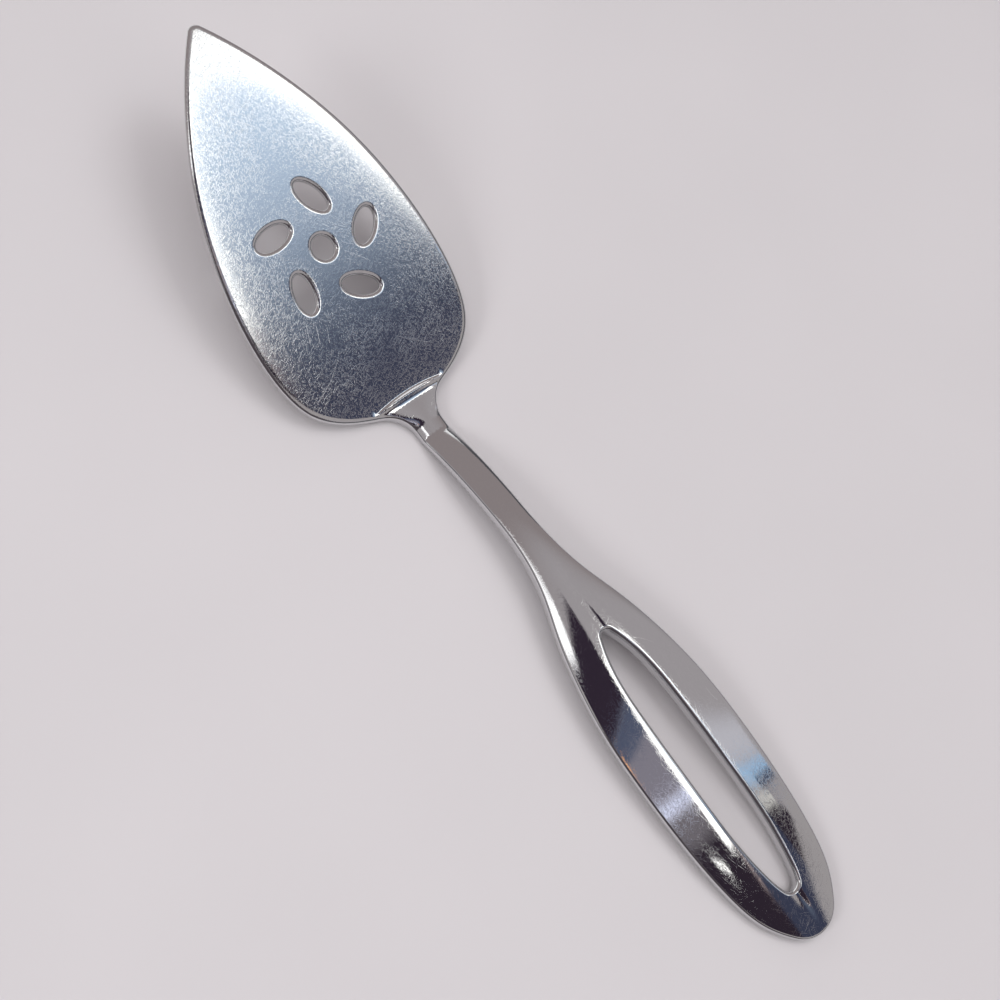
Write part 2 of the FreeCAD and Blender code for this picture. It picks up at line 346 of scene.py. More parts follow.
    def handle_top(self, x: np.ndarray, y: np.ndarray) -> np.ndarray:
        """Height of the top of web, neck and handle: one crown with a fine groove in its middle.

        Args:
            x: Places along the length.
            y: Places across.

        Returns:
            The heights.
        """
        swell = smooth_step(x, 0.0, self.arch_crest)
        fade = smooth_step(x, self.handle_widest, self.handle_length)
        thick = self.web_thickness + (self.handle_thickness - self.web_thickness) * swell
        thick = thick + (self.handle_end_thickness - self.handle_thickness) * fade
        to_neck = smooth_step(x, 0.0, self.root_fillet)
        to_limb = smooth_step(x, self.flare_start, self.handle_widest)
        radius = self.web_crown_radius + (self.neck_crown_radius - self.web_crown_radius) * to_neck
        radius = radius + (self.limb_crown_radius - self.neck_crown_radius) * to_limb
        groove = smooth_step(x, self.groove_start, self.loop_start)
        groove = groove * (1.0 - smooth_step(x, self.loop_end, self.handle_length))
        groove = groove * self.groove_depth * np.exp(-(y / self.groove_half_width) ** 2)
        middle = soft_max(self.underside_middle(x) + thick, self.web_level - self.web_fall * x,
                          self.web_blend)
        return middle - y ** 2 / (2.0 * radius) - groove

    def blade_above(self, across: np.ndarray) -> np.ndarray:
        """Height of the blade's face over its underside plane, square to it."""
        drop = self.blade_radius - np.sqrt(self.blade_radius ** 2 - across ** 2)
        return self.blade_thickness - drop

    def blade_top(self, x: np.ndarray, y: np.ndarray) -> np.ndarray:
        """Height of the blade's face."""
        middle = self.blade_foot - x * math.tan(self.tilt) + self.bow(x)
        return middle + self.blade_above(y) / math.cos(self.tilt)

    def ramp(self, x: np.ndarray, y: np.ndarray) -> np.ndarray:
        """Height of the step's ramp, curved in plan about a point behind it.

        Args:
            x: Places along the length.
            y: Places across.

        Returns:
            The heights.
        """
        foot = self.blade_top(np.array(-self.step_front), np.array(0.0))
        reach = np.hypot(x - self.step_centre, y)
        return foot + (self.step_arc_radius - reach) * math.tan(math.radians(self.step_slope))

    def top(self, x: np.ndarray, y: np.ndarray) -> np.ndarray:
        """Height of the whole top: blade, step, web, neck and handle.

        Args:
            x: Places along the length.
            y: Places across.

        Returns:
            The heights.
        """
        handle = self.handle_top(x, y)
        behind = -soft_max(-self.ramp(x, y), -handle, self.ridge_blend)
        behind = np.where(x > self.root_fillet, handle, behind)
        whole = soft_max(self.blade_top(x, y), behind, self.valley_blend)
        return np.where(x > self.root_fillet, handle, whole)

    def bow_square(self, along: np.ndarray) -> np.ndarray:
        """Height of the blade's bow, square to the straight line from the step to the tip."""
        part = along / self.blade_length
        return 4.0 * self.blade_bow * part * (1.0 - part)

    def blade_point(self, along: np.ndarray, across: np.ndarray, above: np.ndarray) -> np.ndarray:
        """Points set out on the blade.

        Args:
            along: Distances from the step along the blade's face.
            across: Distances from the middle line.
            above: Distances over the underside plane.

        Returns:
            The points, one row each.
        """
        x = -along * math.cos(self.tilt) + above * math.sin(self.tilt)
        z = self.blade_foot + along * math.sin(self.tilt) + above * math.cos(self.tilt)
        return np.stack([x, across, z], axis=-1)


class Lie(Enum):
    """What a rim is set out on."""

    TABLE_PLAN = "table plan"
    BLADE_FACE = "blade face"


@dataclass
class Rim:
    """Closed edge of the sheet, with its rolled top and its broken underside edge."""

    name: str
    points: np.ndarray
    lie: Lie
    roll_width: np.ndarray | float
    roll_depth: np.ndarray | float
    under_radius: float = 0.3
    is_hole: bool = True
    inward: np.ndarray = field(init=False)

    def __post_init__(self) -> None:
        """Work out the direction into the metal at each point."""
        run = np.roll(self.points, -1, axis=0) - np.roll(self.points, 1, axis=0)
        run /= np.linalg.norm(run, axis=1)[:, None]
        left = np.stack([-run[:, 1], run[:, 0]], axis=1)
        area = np.sum(self.points[:, 0] * np.roll(self.points[:, 1], -1)
                      - self.points[:, 1] * np.roll(self.points[:, 0], -1))
        inside = left if area > 0 else -left
        self.inward = -inside if self.is_hole else inside

    def rounding(self, on_top: bool) -> list[np.ndarray]:
        """Size of the edge's rounding at each point.

        Args:
            on_top: Whether this is the top's roll, and not the underside's broken edge.

        Returns:
            Its width into the metal and its depth, as columns.
        """
        sizes = (self.roll_width, self.roll_depth) if on_top else (self.under_radius,) * 2
        return [np.broadcast_to(size, len(self.points))[:, None] for size in sizes]


@dataclass(frozen=True)
class ServerPlan:
    """Outline, finger loop and pierced pinwheel of the server, in millimetres."""

    form: ServerForm
    blade_widest: float = 27.0
    tip_radius: float = 2.3
    tip_half_angle: float = 41.0
    side_fullness: tuple = ((0.27, 0.502), (0.50, 0.771), (0.76, 0.945))
    shoulder_fullness: tuple = ((0.44, 0.960), (0.70, 0.862))
    shoulder_slant: float = 69.0
    shoulder_half_width: float = 12.9
    handle_width: float = 31.3
    handle_end_radius: float = 8.8
    handle_end_angle: float = 50.0
    end_fullness: tuple = ((0.30, 0.976), (0.60, 0.882), (0.80, 0.712))
    neck_width: float = 8.0
    flare_fullness: tuple = ((0.29, 0.216), (0.43, 0.506), (0.58, 0.750), (0.79, 0.953))
    loop_width: float = 9.9
    loop_widest_part: float = 0.493
    loop_start_radius: float = 1.4
    loop_end_radius: float = 2.1
    loop_end_angle: float = 25.0
    loop_front_fullness: tuple = ((0.25, 0.755), (0.60, 0.965))
    loop_back_fullness: tuple = ((0.37, 0.980), (0.62, 0.885), (0.83, 0.67))
    ring_from_step: float = 40.1
    centre_hole_diameter: float = 5.7
    petal_count: int = 5
    petal_length: float = 9.4
    petal_width: float = 4.7
    petal_ring_radius: float = 12.3
    petal_ring_turn: float = 18.8
    petal_slant: float = 135.5
    blade_roll: tuple = (1.3, 0.55)
    handle_roll: tuple = (0.6, 0.6)
    loop_roll: tuple = (1.2, 1.2)
    pierced_roll: tuple = (1.2, 0.6)
    pitch: float = 0.5
    pierced_pitch: float = 0.35

    def swept(self, box: tuple, shares: tuple, ends: tuple, turns: tuple) -> np.ndarray:
        """Smooth edge through points that are set out in shares of a box.

        Args:
            box: Corner where the shares are 0, and corner where they are 1.
            shares: Share of the box's length and width, for each point between the ends.
            ends: First and last point.
            turns: Heading of the edge at each end, in degrees.

        Returns:
            Points along the edge, without its last one.
        """
        low, high = np.array(box)
        knots = np.vstack([ends[0], low + (high - low) * np.array(shares), ends[1]])
        return curve_through(knots, heading(turns[0]), heading(turns[1]), self.pitch)

    def blade_side(self) -> np.ndarray:
        """Blade edge from the tip to the fillet at the neck's root.

        Returns:
            Points with y above 0.
        """
        form = self.form
        half = form.blade_width / 2.0
        widest = (-self.blade_widest * math.cos(form.tilt), half)
        centre = np.array([form.tip_x + self.tip_radius, 0.0])
        turn = 90.0 + self.tip_half_angle
        return np.concatenate([
            arc(centre, self.tip_radius, 180.0, turn, self.pitch / 2.0),
            self.swept(((form.tip_x, 0.0), widest), self.side_fullness,
                       (centre + heading(turn) * self.tip_radius, widest),
                       (self.tip_half_angle, 0.0)),
            self.swept(((widest[0], 0.0), (0.0, half)), self.shoulder_fullness,
                       (widest, (0.0, self.shoulder_half_width)), (0.0, -self.shoulder_slant))])

    def root_and_neck(self) -> np.ndarray:
        """Edge from the shoulder through the root's fillet and along the neck.

        Returns:
            Points with y above 0.
        """
        fillet = self.form.root_fillet
        slant = math.radians(self.shoulder_slant)
        centre_y = self.neck_width / 2.0 + fillet
        drop = self.shoulder_half_width - centre_y + fillet * math.cos(slant)
        centre = np.array([drop / math.tan(slant) + fillet * math.sin(slant), centre_y])
        first = centre + heading(270.0 - self.shoulder_slant) * fillet
        last = centre + heading(270.0) * fillet
        start = np.array([0.0, self.shoulder_half_width])
        finish = np.array([self.form.flare_start, self.neck_width / 2.0])
        return np.concatenate([
            self.straight(start, first),
            arc(centre, fillet, 270.0 - self.shoulder_slant, 270.0, self.pitch),
            self.straight(last, finish)])

    def straight(self, start: np.ndarray, finish: np.ndarray) -> np.ndarray:
        """Points on a straight edge, without its last one.

        Args:
            start: First point.
            finish: Last point.

        Returns:
            The points.
        """
        count = max(1, round(float(np.linalg.norm(finish - start)) / self.pitch))
        return start + (finish - start) * (np.arange(count) / count)[:, None]

    def handle_side(self) -> np.ndarray:
        """Handle edge from the neck to its end on the middle line.

        Returns:
            Points with y above 0.
        """
        form = self.form
        half = self.handle_width / 2.0
        neck = (form.flare_start, self.neck_width / 2.0)
        widest = (form.handle_widest, half)
        centre = np.array([form.handle_length - self.handle_end_radius, 0.0])
        turn = self.handle_end_angle
        return np.concatenate([
            self.swept((neck, widest), self.flare_fullness, (neck, widest), (0.0, 0.0)),
            self.swept(((form.handle_widest, 0.0), (form.handle_length, half)), self.end_fullness,
                       (widest, centre + heading(turn) * self.handle_end_radius),
                       (0.0, turn - 90.0)),
            arc(centre, self.handle_end_radius, turn, 0.0, self.pitch),
            [[form.handle_length, 0.0]]])

    def outer_rim(self) -> Rim:
        """Outline of the whole server, rolled wider along the blade.

        Returns:
            The rim.
        """
        half = np.concatenate([self.blade_side(), self.root_and_neck(), self.handle_side()])
        points = mirrored_loop(half)
        to_handle = smooth_step(points[:, 0], -self.form.heel_fade, self.form.root_fillet)
        width, depth = (first + (second - first) * to_handle
                        for first, second in zip(self.blade_roll, self.handle_roll))
        return Rim("outline", points, Lie.TABLE_PLAN, width, depth, is_hole=False)

    def loop_rim(self) -> Rim:
        """Finger loop through the handle.

        Returns:
            The rim.
        """
        form = self.form
        half = self.loop_width / 2.0
        length = form.loop_end - form.loop_start
        widest = (form.loop_start + length * self.loop_widest_part, half)
        turn = 90.0 - self.loop_end_angle
        first = np.array([form.loop_start + self.loop_start_radius, 0.0])
        last = np.array([form.loop_end - self.loop_end_radius, 0.0])
        fine = self.pitch / 2.0
        points = np.concatenate([
            arc(first, self.loop_start_radius, 180.0, 180.0 - turn, fine),
            self.swept(((form.loop_start, 0.0), widest), self.loop_front_fullness,
                       (first + heading(180.0 - turn) * self.loop_start_radius, widest),
                       (self.loop_end_angle, 0.0)),
            self.swept(((widest[0], 0.0), (form.loop_end, half)), self.loop_back_fullness,
                       (widest, last + heading(turn) * self.loop_end_radius),
                       (0.0, -self.loop_end_angle)),
            arc(last, self.loop_end_radius, turn, 0.0, fine),
            [[form.loop_end, 0.0]]])
        width, depth = self.loop_roll
        return Rim("finger loop", mirrored_loop(points), Lie.TABLE_PLAN, width, depth)

    def pierced_rims(self) -> list[Rim]:
        """Round hole and petals, in distances along the blade and across it.

        Returns:
            One rim for each hole.
        """
        width, depth = self.pierced_roll
        centre = np.array([self.ring_from_step, 0.0])
        count = round(math.pi * self.centre_hole_diameter / self.pierced_pitch)
        turns = 360.0 * np.arange(count) / count
        ring = np.array([heading(turn) for turn in turns])
        rims = [Rim("round hole", centre + ring * self.centre_hole_diameter / 2.0,
                    Lie.BLADE_FACE, width, depth)]
        size = np.array([self.petal_length / 2.0, self.petal_width / 2.0])
        for k in range(self.petal_count):
            place = self.petal_ring_turn + 360.0 * k / self.petal_count
            long_axis = heading(place + self.petal_slant)
            cross_axis = np.array([-long_axis[1], long_axis[0]])
            middle = centre + heading(place) * self.petal_ring_radius
            points = (ring * size) @ np.stack([long_axis, cross_axis])
            rims.append(Rim(f"petal {k + 1}", middle + points, Lie.BLADE_FACE, width, depth))
        return rims


def inside_loop(points: np.ndarray, loop: np.ndarray) -> np.ndarray:
    """Tell which plan points lie inside a closed loop.

    Args:
        points: Points to test.
        loop: Corners of the loop.

    Returns:
        True for each point inside.
    """
    inside = np.zeros(len(points), bool)
    x, y = points[:, 0], points[:, 1]
    for start, finish in zip(loop, np.roll(loop, -1, axis=0)):
        if start[1] == finish[1]:
            continue
        crosses = (start[1] > y) != (finish[1] > y)
        reach = start[0] + (y - start[1]) * (finish[0] - start[0]) / (finish[1] - start[1])
        inside ^= crosses & (x < reach)
    return inside


def inside_metal(points: np.ndarray, loops: list[np.ndarray]) -> np.ndarray:
    """Tell which plan points lie inside the outline and outside every hole.

    Args:
        points: Points to test.
        loops: Corners of each loop, the outline first.

    Returns:
        True for each point inside.
    """
    inside = inside_loop(points, loops[0])
    for hole in loops[1:]:
        inside &= ~inside_loop(points, hole)
    return inside


@dataclass
class ServerSkin:
    """Mesh of the whole server, with the true direction of its surface at every point."""

    form: ServerForm
    plan: ServerPlan
    roll_steps: int = 8
    under_steps: int = 3
    top_pitch: float = 0.75
    under_pitch: float = 1.6
    step_reach: float = 2.2
    step_pitch: float = 0.14
    groove_rows: tuple = (0.0, 0.22, 0.45, 0.7, 1.0, 1.35, 1.8, 2.4)
    groove_gap: float = 0.3
    slope_reach: float = 0.01
    step_rows_behind: float = 0.6
    step_half_count: int = 34
    border_gap: float = 0.45
    merge_distance: float = 1e-7
    border_parts: int = 12
    points: list = field(default_factory=list)
    directions: list = field(default_factory=list)
    faces: list = field(default_factory=list)
    count: int = 0

    def add(self, points: np.ndarray, directions: np.ndarray) -> np.ndarray:
        """Add points to the mesh.

        Args:
            points: Places, one row each.
            directions: Surface directions, of any length.

        Returns:
            The numbers of the new points.
        """
        self.points.append(points)
        self.directions.append(directions / np.linalg.norm(directions, axis=1)[:, None])
        numbers = np.arange(self.count, self.count + len(points))
        self.count += len(points)
        return numbers

    def uphill(self, height: Callable, x: np.ndarray, y: np.ndarray) -> np.ndarray:
        """Upward direction, square to a surface.

        Args:
            height: Function that gives the surface's height.
            x: Places along the length.
            y: Places across.

        Returns:
            Directions that rise by 1.
        """
        e = self.slope_reach
        along = (height(x + e, y) - height(x - e, y)) / (2.0 * e)
        across = (height(x, y + e) - height(x, y - e)) / (2.0 * e)
        return np.stack([-along, -across, np.ones_like(along)], axis=1)

    def ring(self, rim: Rim, turn: float, on_top: bool) -> np.ndarray:
        """Add one ring of points on a rim's rounding.

        Args:
            rim: The rim.
            turn: How far the rounding has turned from the surface to the wall, in radians.
            on_top: Whether the ring belongs to the top.

        Returns:
            The numbers of the new points.
        """
        width, depth = rim.rounding(on_top)
        plan = rim.points + rim.inward * width * (1.0 - math.sin(turn))
        sink = depth[:, 0] * (1.0 - math.cos(turn))
        side = 1.0 if on_top else -1.0
        if rim.lie is Lie.TABLE_PLAN:
            height = self.form.top if on_top else self.form.underside
            x, y = plan[:, 0], plan[:, 1]
            z = height(x, y) - side * sink
            places = np.stack([x, y, z], axis=1)
            face = self.uphill(height, x, y) * side
            wall = np.concatenate([-rim.inward, np.zeros((len(plan), 1))], axis=1)
        else:
            along, across = plan[:, 0], plan[:, 1]
            above = self.form.blade_above(across) + self.form.bow_square(along) - side * sink
            above = above - (0.0 if on_top else self.form.blade_thickness)
            places = self.form.blade_point(along, across, above)
            zero = np.zeros_like(along)
            origin = self.form.blade_point(zero, zero, zero)
            lean = across / self.form.blade_radius
            climb = 4.0 * self.form.blade_bow * (2.0 * along / self.form.blade_length - 1.0)
            climb = climb / self.form.blade_length
            face = (self.form.blade_point(climb, lean, zero + 1.0) - origin) * side
            wall = self.form.blade_point(-rim.inward[:, 0], -rim.inward[:, 1], zero) - origin
        return self.add(places, face * width * math.cos(turn) + wall * depth * math.sin(turn))

    def bridge(self, upper: np.ndarray, lower: np.ndarray, is_counterclockwise: bool) -> None:
        """Join two rings with a band of faces.

        Args:
            upper: Ring that lies higher or further in.
            lower: Ring that lies lower or further out.
            is_counterclockwise: Whether the rings run with the metal on their left.
        """
        upper_next = np.roll(upper, -1)
        lower_next = np.roll(lower, -1)
        if is_counterclockwise:
            quads = np.stack([upper, lower, lower_next, upper_next], axis=1)
        else:
            quads = np.stack([upper, upper_next, lower_next, lower], axis=1)
        self.faces.extend(quads.tolist())

    def edge(self, rim: Rim) -> tuple[np.ndarray, np.ndarray]:
        """Build the rolled top edge, the wall and the underside edge of a rim.

        Args:
            rim: The rim.

        Returns:
            The numbers of the innermost rings on the top and on the underside.
        """
        LOG.info("%s: %d points", rim.name, len(rim.points))
        right_angle = math.pi / 2.0
        rings = [self.ring(rim, turn, on_top=True)
                 for turn in np.linspace(0.0, right_angle, self.roll_steps + 1)]
        rings += [self.ring(rim, turn, on_top=False)
                  for turn in np.linspace(right_angle, 0.0, self.under_steps + 1)]
        run = rim.points[1] - rim.points[0]
        left = np.array([-run[1], run[0]])
        metal_left = float(left @ rim.inward[0]) > 0
        if rim.lie is Lie.BLADE_FACE:
            metal_left = not metal_left
        for upper, lower in zip(rings, rings[1:]):
            self.bridge(upper, lower, metal_left)
        return rings[0], rings[-1]

    def grid(self, pitch: float) -> np.ndarray:
        """Staggered points over the whole plan.

        Args:
            pitch: Distance between points.

        Returns:
            The points.
        """
        half = self.form.blade_width / 2.0
        rows = np.arange(0.0, half, pitch * math.sqrt(3.0) / 2.0)
        places = []
        for k, row in enumerate(rows):
            x = np.arange(self.form.tip_x + pitch * (k % 2) / 2.0, self.form.handle_length, pitch)
            places.append(np.stack([x, np.full(len(x), row)], axis=1))
            if k:
                places.append(np.stack([x, np.full(len(x), -row)], axis=1))
        return np.concatenate(places)

    def step_points(self) -> np.ndarray:
        """Closer points across the step, in rows that follow its curve.

        Returns:
            The points.
        """
        centre = np.array([self.form.step_centre, 0.0])
        reach = np.arange(-self.step_reach, self.step_rows_behind * self.step_reach,
                          self.step_pitch)
        rows = []
        for k, offset in enumerate(reach):
            radius = self.form.step_arc_radius + offset
            turn = self.top_pitch / self.form.step_arc_radius
            turns = np.arange(-self.step_half_count, self.step_half_count + 1) * turn
            turns = turns + turn * (k % 2) / 2.0
            rows.append(centre + radius * np.stack([-np.cos(turns), np.sin(turns)], axis=1))
        return np.concatenate(rows)

    def groove_points(self) -> np.ndarray:
        """Closer rows of points along the groove in the handle.

        Returns:
            The points.
        """
        x = np.arange(self.form.groove_start, self.form.handle_length, self.top_pitch)
        rows = sorted({side * row for row in self.groove_rows for side in (-1.0, 1.0)})
        return np.concatenate([np.stack([x, np.full(len(x), row)], axis=1) for row in rows])

    def top_points(self) -> np.ndarray:
        """Points inside the top, closer at the step and the groove.

        Returns:
            The points.
        """
        grid = self.grid(self.top_pitch)
        centre_x = self.form.step_centre
        reach = np.hypot(grid[:, 0] - centre_x, grid[:, 1]) - self.form.step_arc_radius
        at_step = (np.abs(reach) < self.step_reach + self.step_pitch) & (grid[:, 0] < centre_x)
        widest = self.groove_rows[-1] + self.groove_gap
        at_groove = (grid[:, 0] > self.form.groove_start) & (np.abs(grid[:, 1]) < widest)
        return np.concatenate([grid[~at_step & ~at_groove], self.step_points(),
                               self.groove_points()])

    def fill(self, rings: list[np.ndarray], inner: np.ndarray, on_top: bool) -> None:
        """Fill the surface between the innermost rings.

        Args:
            rings: Numbers of the rings' points, the outline first.
            inner: Points to use inside.
            on_top: Whether this is the top.
        """
        places = np.concatenate(self.points)
        loops = [places[ring][:, :2] for ring in rings]
        pitch = self.top_pitch if on_top else self.under_pitch
        inner = inner[inside_metal(inner, loops)]
        border = np.concatenate(loops)
        gap = np.full(len(inner), np.inf)
        for part in np.array_split(np.arange(len(border)), self.border_parts):
            away = np.linalg.norm(inner[:, None] - border[None, part], axis=2)
            gap = np.minimum(gap, away.min(axis=1))
        inner = inner[gap > self.border_gap * pitch]
        height = self.form.top if on_top else self.form.underside
        x, y = inner[:, 0], inner[:, 1]
        side = 1.0 if on_top else -1.0
        numbers = self.add(np.stack([x, y, height(x, y)], axis=1), self.uphill(height, x, y) * side)
        corners = [Vector(point) for point in np.concatenate([border, inner]).tolist()]
        owners = np.concatenate([*rings, numbers])
        borders = []
        start = 0
        for ring in rings:
            index = np.arange(start, start + len(ring))
            borders.extend(np.stack([index, np.roll(index, -1)], axis=1).tolist())
            start += len(ring)
        found, _, triangles, origins, _, _ = delaunay_2d_cdt(corners, borders, [], 0,
                                                            self.merge_distance)
        flat = np.array([tuple(point) for point in found])
        triangles = np.array(triangles)
        keep = inside_metal(flat[triangles].mean(axis=1), loops)
        triangles = owners[np.array([origin[0] for origin in origins])][triangles[keep]]
        if not on_top:
            triangles = triangles[:, ::-1]
        self.faces.extend(triangles.tolist())

    def build(self) -> bpy.types.Object:
        """Build the mesh and put it in the scene, in metres and in the frame's place.

        Returns:
            The new object.
        """
        rims = [self.plan.outer_rim(), self.plan.loop_rim(), *self.plan.pierced_rims()]
        pairs = [self.edge(rim) for rim in rims]
        self.fill([pair[0] for pair in pairs], self.top_points(), on_top=True)
        self.fill([pair[1] for pair in pairs], self.grid(self.under_pitch), on_top=False)
        places = np.concatenate(self.points)
        places[:, 0] -= self.form.middle_x
        mesh = bpy.data.meshes.new("server_skin")
        mesh.from_pydata((places * MM).tolist(), [], self.faces)
        mesh.polygons.foreach_set("use_smooth", [True] * len(mesh.polygons))
        mesh.normals_split_custom_set_from_vertices(np.concatenate(self.directions).tolist())
        LOG.info("server_skin: %d points, %d faces", len(places), len(mesh.polygons))
        return put("server_skin", mesh)


class Signal:
    """Number socket that adds Math nodes when it is used in an expression."""

    def __init__(self, graph: Graph, socket: bpy.types.NodeSocket) -> None:
        """Keep the socket and the graph that it is in."""
        self.graph = graph
        self.socket = socket

    def math(self, operation: str, *others: object) -> Signal:
        """Add a Math node.

        Args:
            operation: The node's operation.
            others: Further values or signals.

        Returns:
            The node's result.
        """
        node = self.graph.node("ShaderNodeMath", {"operation": operation},
                               dict(enumerate((self, *others))))
        return Signal(self.graph, node.outputs[0])

    def __add__(self, other: object) -> Signal:
        """Sum."""
        return self.math("ADD", other)

    __radd__ = __add__

    def __sub__(self, other: object) -> Signal:
        """Difference."""
        return self.math("SUBTRACT", other)

    def __rsub__(self, other: object) -> Signal:
        """Difference from a number."""
        return self.math("MULTIPLY_ADD", -1.0, other)

    def __mul__(self, other: object) -> Signal:
        """Product."""
        return self.math("MULTIPLY", other)

    __rmul__ = __mul__

    def __truediv__(self, other: object) -> Signal:
        """Quotient."""
        return self.math("DIVIDE", other)

    def __pow__(self, other: float) -> Signal:
        """Power."""
        return self.math("POWER", other)

    def __abs__(self) -> Signal:
        """Size without sign."""
        return self.math("ABSOLUTE")

    def highest(self, other: object) -> Signal:
        """Larger of two."""
        return self.math("MAXIMUM", other)

    def between(self, low: float, high: float) -> Signal:
        """Go smoothly from 0 at low to 1 at high.

        Args:
            low: Value at which the result leaves 0.
            high: Value at which the result reaches 1.

        Returns:
            The result, from 0 to 1.
        """
        node = self.graph.node("ShaderNodeMapRange", {"interpolation_type": "SMOOTHSTEP"},
                               {"Value": self, "From Min": low, "From Max": high})
        return Signal(self.graph, node.outputs[0])


class Graph:
    """Node tree of a material or of the world."""

    def __init__(self, tree: bpy.types.NodeTree) -> None:
        """Empty the tree and keep it."""
        self.tree = tree
        tree.nodes.clear()

    def node(self, kind: str, settings: dict, inputs: dict) -> bpy.types.Node:
        """Add a node, with its settings first and then its inputs.

        Args:
            kind: Type of the node.
            settings: Values of its properties.
            inputs: Values, signals or sockets for its input sockets.

        Returns:
            The node.
        """
        node = self.tree.nodes.new(kind)
        for name, value in settings.items():
            setattr(node, name, value)
        for name, value in inputs.items():
            if isinstance(value, Signal):
                value = value.socket
            socket = node.inputs[name]
            if isinstance(value, bpy.types.NodeSocket):
                self.tree.links.new(value, socket)
            else:
                socket.default_value = (*value, 1.0) if socket.type == "RGBA" else value
        return node

    def signal(self, kind: str, settings: dict, inputs: dict, output: object = 0) -> Signal:
        """Add a node and take one of its number outputs."""
        return Signal(self, self.node(kind, settings, inputs).outputs[output])

    def noise(self, place: bpy.types.NodeSocket, scale: float, detail: float,
              levels: tuple) -> Signal:
        """Soft random pattern.

        Args:
            place: Position socket.
            scale: Scale of the pattern.
            detail: Number of finer layers.
            levels: Values of the noise that become 0 and 1.

        Returns:
            The pattern, from 0 to 1.
        """
        inputs = {"Vector": place, "Scale": scale, "Detail": detail}
        return self.signal("ShaderNodeTexNoise", {}, inputs).between(*levels)

    def blend(self, factor: object, first: object, second: object) -> bpy.types.NodeSocket:
        """Mix two colours.

        Args:
            factor: Share of the second colour.
            first: Colour at 0.
            second: Colour at 1.

        Returns:
            The mixed colour's socket.
        """
        node = self.node("ShaderNodeMix", {"data_type": "RGBA"}, {0: factor, 6: first, 7: second})
        return node.outputs[2]


@dataclass(frozen=True)
class LongScratch:
    """One long scratch on the top, from one place to another, in metres."""

    start: tuple
    finish: tuple
    bend: float = 0.0
    width: float = 0.00012
    sharp_part: float = 0.3
    fading_part: float = 0.1

    def mark(self, graph: Graph, x: Signal, y: Signal) -> Signal:
        """How strongly a place is scratched.

        Args:
            graph: Material's graph; not used.
            x: Place along the length.
            y: Place across.

        Returns:
            Strength from 0 to 1.
        """
        run = Vector(self.finish) - Vector(self.start)
        length = run.length
        run = run / length
        along = (x - self.start[0]) * run.x + (y - self.start[1]) * run.y
        aside = (y - self.start[1]) * run.x - (x - self.start[0]) * run.y
        sag = along * (length - along) * (4.0 * self.bend / length ** 2)
        near = abs(aside - sag).between(self.width, self.sharp_part * self.width)
        fading = self.fading_part * length
        return near * along.between(0.0, fading) * along.between(length, length - fading)


